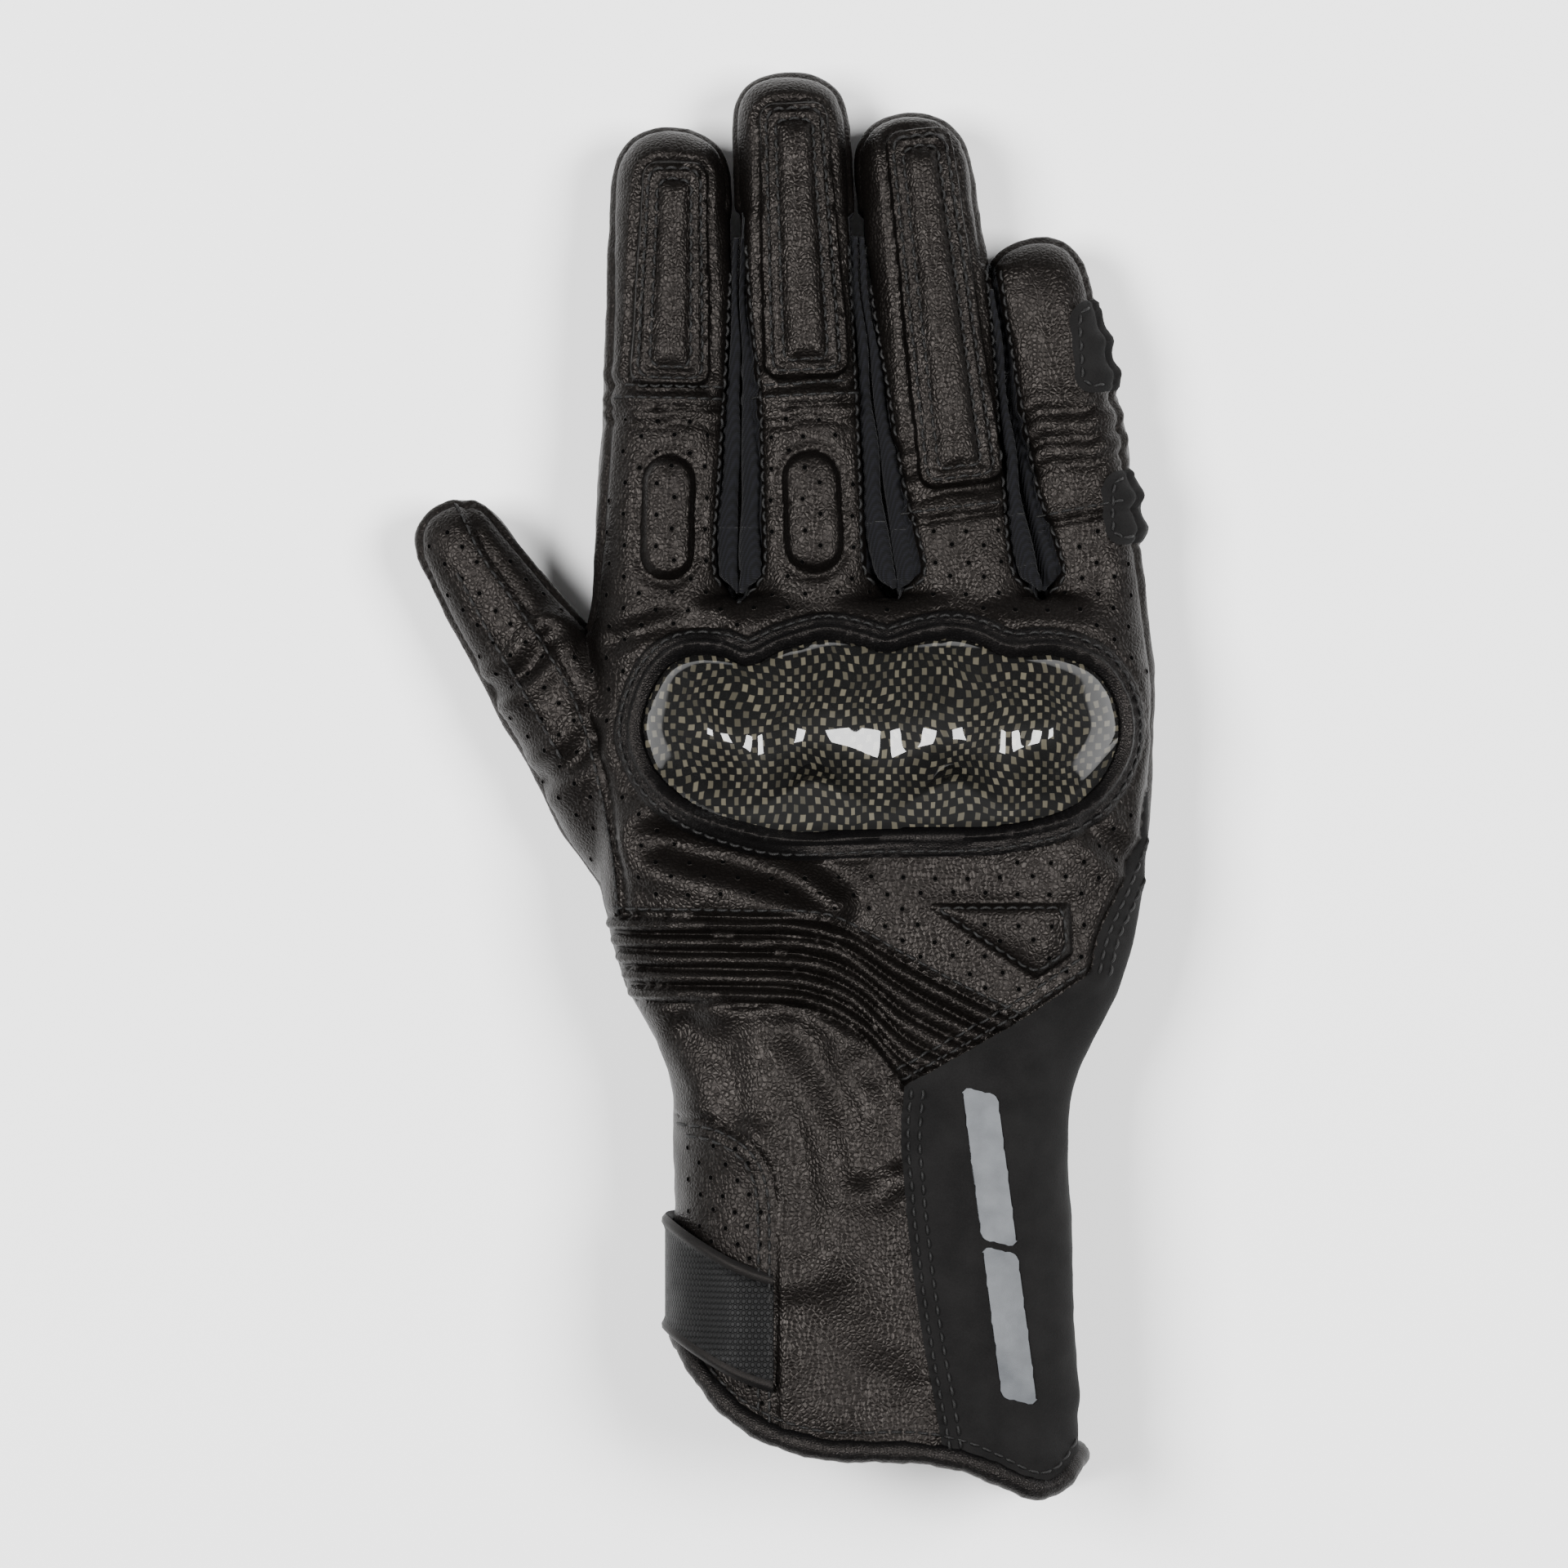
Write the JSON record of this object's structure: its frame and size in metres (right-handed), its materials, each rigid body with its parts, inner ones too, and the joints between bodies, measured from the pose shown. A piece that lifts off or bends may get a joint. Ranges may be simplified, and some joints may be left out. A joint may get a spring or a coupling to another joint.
{
  "type": "motorcycle glove",
  "caption": "Right-hand short-cuff leather riding glove with a hard scalloped knuckle guard, stretch accordion wrist, padded fingers and a peel-off wrist strap.",
  "frame": {"origin": "centre of the flat pad on the palm, where the glove rests, at its underside", "axes": "+Y towards the middle fingertip, +X towards the little finger, +Z out of the back of the hand"},
  "size_m": [0.1288, 0.25, 0.0441],
  "materials": {
    "goat_leather": "fine pebble grain, satin",
    "perforated_leather": "pebble grain with rows of small holes",
    "binding_leather": "smooth, low sheen",
    "suede": "napped, matt",
    "stretch_textile": "fine twill, matt",
    "carbon_fibre": "plain weave under clear coat",
    "foam": "closed cell, matt",
    "lining": "tricot knit, matt",
    "strap_rubber": "moulded, honeycomb texture",
    "hook_and_loop": "hook and loop, matt",
    "reflective_film": "silver retroreflective, satin"
  },
  "bodies": {
    "hand": {"back_hand_panel": "goat_leather", "palm_panel": "goat_leather", "ulnar_side_panel": "suede", "hand_lining": "lining", "knuckle_guard": "carbon_fibre", "guard_foam": "foam", "guard_frame": "binding_leather", "back_hand_patch": "goat_leather", "palm_heel_pad": "suede", "thumb_heel_panel": "goat_leather", "thumb_web_sleeve": "stretch_textile", "accordion_panel": "goat_leather", "wrist_elastic": "stretch_textile", "index_web_sleeve": "stretch_textile", "middle_web_sleeve": "stretch_textile", "ring_web_sleeve": "stretch_textile", "little_web_sleeve": "stretch_textile"},
    "cuff": {"cuff_back_panel": "goat_leather", "cuff_ulnar_panel": "suede", "cuff_palm_panel": "goat_leather", "cuff_lining": "lining", "cuff_vent_panel": "perforated_leather", "cuff_binding": "binding_leather", "reflective_trim": "reflective_film", "strap_anchor": "strap_rubber", "loop_patch": "hook_and_loop"},
    "strap": {"strap_tail": "strap_rubber", "hook_patch": "hook_and_loop"},
    "thumb_base": {"thumb_base_stall": "goat_leather", "thumb_joint_sleeve": "stretch_textile"},
    "thumb_tip": {"thumb_tip_stall": "goat_leather"},
    "index_base": {"index_base_stall": "goat_leather", "index_joint_sleeve": "stretch_textile", "index_knuckle_pad": "perforated_leather"},
    "index_tip": {"index_tip_back": "goat_leather", "index_tip_palm": "goat_leather", "index_finger_pad": "goat_leather", "index_fourchette_right": "stretch_textile"},
    "middle_base": {"middle_base_stall": "goat_leather", "middle_joint_sleeve": "stretch_textile", "middle_knuckle_pad": "perforated_leather"},
    "middle_tip": {"middle_tip_back": "goat_leather", "middle_tip_palm": "goat_leather", "middle_finger_pad": "goat_leather", "middle_fourchette_left": "stretch_textile", "middle_fourchette_right": "stretch_textile"},
    "ring_base": {"ring_base_stall": "goat_leather", "ring_joint_sleeve": "stretch_textile"},
    "ring_tip": {"ring_tip_back": "goat_leather", "ring_tip_palm": "goat_leather", "ring_finger_pad": "goat_leather", "ring_fourchette_left": "stretch_textile", "ring_fourchette_right": "stretch_textile"},
    "little_base": {"little_base_stall": "goat_leather", "little_joint_sleeve": "stretch_textile", "little_base_patch": "suede"},
    "little_tip": {"little_tip_back": "goat_leather", "little_tip_palm": "goat_leather", "little_tip_patch": "suede", "little_fourchette_left": "stretch_textile"}
  },
  "joints": [
    {"name": "wrist_bend", "type": "hinge", "parent": "hand", "child": "cuff", "pos_m": [0, -0.0305, 0.02], "axis": [1, 0, 0], "range_deg": [-25, 25], "deforming": ["accordion_panel", "wrist_elastic"]},
    {"name": "strap_peel", "type": "hinge", "parent": "cuff", "child": "strap", "pos_m": [-0.0326, -0.0796, 0.0064], "axis": [0, 1, 0], "range_deg": [0, 150]},
    {"name": "index_base_bend", "type": "hinge", "parent": "hand", "child": "index_base", "pos_m": [-0.03607, 0.043, 0.00682], "axis": [-0.9996, 0.0265, 0], "range_deg": [0, 70], "deforming": ["index_web_sleeve"]},
    {"name": "index_mid_bend", "type": "hinge", "parent": "index_base", "child": "index_tip", "pos_m": [-0.03534, 0.07049, 0.00702], "axis": [-0.9996, 0.0265, 0], "range_deg": [0, 80], "deforming": ["index_joint_sleeve"]},
    {"name": "middle_base_bend", "type": "hinge", "parent": "hand", "child": "middle_base", "pos_m": [-0.00985, 0.04299, 0.00682], "axis": [-0.9988, -0.0496, 0], "range_deg": [0, 70], "deforming": ["middle_web_sleeve"]},
    {"name": "middle_mid_bend", "type": "hinge", "parent": "middle_base", "child": "middle_tip", "pos_m": [-0.01124, 0.07096, 0.007], "axis": [-0.9988, -0.0496, 0], "range_deg": [0, 80], "deforming": ["middle_joint_sleeve"]},
    {"name": "ring_base_bend", "type": "hinge", "parent": "hand", "child": "ring_base", "pos_m": [0.01635, 0.04296, 0.00682], "axis": [-0.9915, -0.1302, 0], "range_deg": [0, 70], "deforming": ["ring_web_sleeve"]},
    {"name": "ring_mid_bend", "type": "hinge", "parent": "ring_base", "child": "ring_tip", "pos_m": [0.01349, 0.06477, 0.00696], "axis": [-0.9915, -0.1302, 0], "range_deg": [0, 80], "deforming": ["ring_joint_sleeve"]},
    {"name": "little_base_bend", "type": "hinge", "parent": "hand", "child": "little_base", "pos_m": [0.03867, 0.04291, 0.00682], "axis": [-0.9826, -0.1857, 0], "range_deg": [0, 70], "deforming": ["little_web_sleeve"]},
    {"name": "little_mid_bend", "type": "hinge", "parent": "little_base", "child": "little_tip", "pos_m": [0.03505, 0.06207, 0.00695], "axis": [-0.9826, -0.1857, 0], "range_deg": [0, 80], "deforming": ["little_joint_sleeve"]},
    {"name": "thumb_base_bend", "type": "hinge", "parent": "hand", "child": "thumb_base", "pos_m": [-0.05843, 0.01991, 0.00746], "axis": [-0.8911, -0.4539, 0], "range_deg": [0, 35], "deforming": ["thumb_web_sleeve"]},
    {"name": "thumb_tip_bend", "type": "hinge", "parent": "thumb_base", "child": "thumb_tip", "pos_m": [-0.06751, 0.03773, 0.00751], "axis": [-0.8911, -0.4539, 0], "range_deg": [0, 60], "deforming": ["thumb_joint_sleeve"]}
  ]
}
